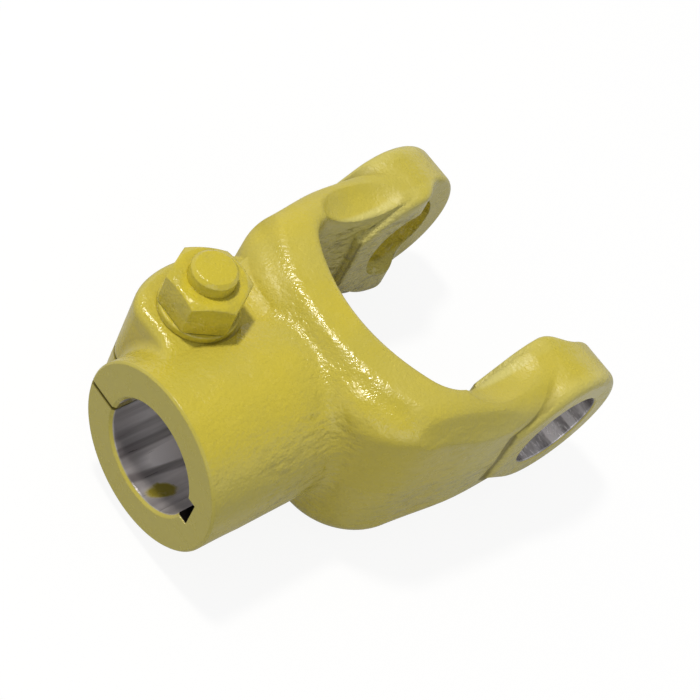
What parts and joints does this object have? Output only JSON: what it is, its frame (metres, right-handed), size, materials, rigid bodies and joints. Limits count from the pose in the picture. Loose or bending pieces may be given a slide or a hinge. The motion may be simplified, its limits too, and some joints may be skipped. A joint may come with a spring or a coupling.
{
  "type": "forged yoke",
  "caption": "Forged clamp yoke for a drive-shaft joint: a split, keyed hub drawn closed by a cross bolt, and a fork with two bored ears.",
  "frame": {"origin": "joint centre: where the hub bore's axis meets the common axis of the two bearing bores, midway between the ears", "axes": "+X along the hub bore from its face towards the ear tips, +Y along the bearing bores towards the side of the clamp boss, +Z along the clamp bolt towards its nut"},
  "size_m": [0.1481, 0.1016, 0.0793],
  "materials": {
    "painted_forging": "glossy yellow paint over forged steel, bores bare",
    "painted_bolt": "glossy yellow paint",
    "painted_washer": "glossy yellow paint",
    "painted_nut": "glossy yellow paint"
  },
  "bodies": {
    "root": {"yoke": "painted_forging", "clamp_bolt": "painted_bolt", "washer": "painted_washer", "nut": "painted_nut"}
  },
  "joints": []
}
